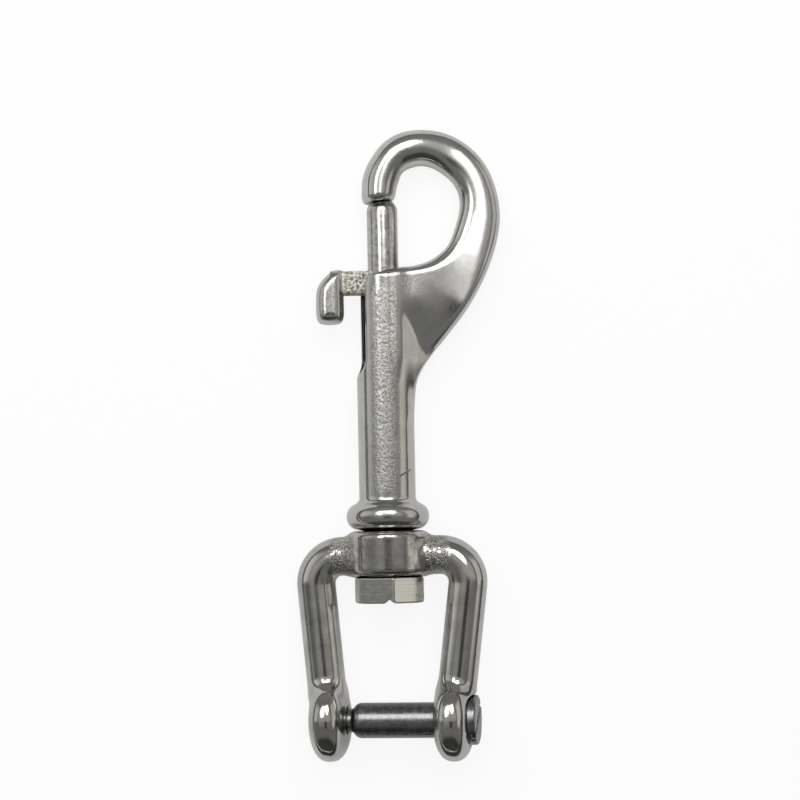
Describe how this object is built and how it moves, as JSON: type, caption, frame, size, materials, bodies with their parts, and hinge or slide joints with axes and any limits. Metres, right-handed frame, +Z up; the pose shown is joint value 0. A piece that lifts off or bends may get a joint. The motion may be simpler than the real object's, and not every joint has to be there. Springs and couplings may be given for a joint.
{
  "type": "swivel snap hook",
  "caption": "Swivel snap hook with a sprung plunger and thumb lever, and a shackle closed by a slotted screw pin.",
  "frame": {"origin": "middle of the shackle pin, between the ears", "axes": "+Y along the hook from the shackle to the hook's top, +X to the hook's back, +Z up as the hook lies on its side"},
  "size_m": [0.0377, 0.1132, 0.0194],
  "materials": {
    "cast_stainless": "polished cast stainless steel with a pitted strip along the barrel",
    "turned_stainless": "turned and polished stainless steel",
    "spring_steel": "drawn stainless spring wire",
    "pin_steel": "dark drawn stainless steel, lightly scuffed"
  },
  "bodies": {
    "hook": {"hook_body": "cast_stainless", "swivel_pin": "turned_stainless", "plunger_spring": "spring_steel"},
    "bolt": {"plunger": "turned_stainless", "thumb_lever": "cast_stainless"},
    "shackle": {"shackle": "cast_stainless"},
    "pin": {"shackle_pin": "pin_steel"}
  },
  "joints": [
    {"name": "swivel", "type": "hinge", "parent": "hook", "child": "shackle", "pos_m": [0, 0.0297, 0], "axis": [0, 1, 0], "continuous": true},
    {"name": "bolt_slide", "type": "slide", "parent": "hook", "child": "bolt", "axis": [0, -1, 0], "range_m": [0, 0.013], "stiffness_N_per_m": 400, "springref_m": -0.01, "deforming": ["plunger_spring"]},
    {"name": "pin_draw", "type": "slide", "parent": "shackle", "child": "pin", "axis": [0.9744, 0, 0.225], "range_m": [0, 0.032]}
  ]
}
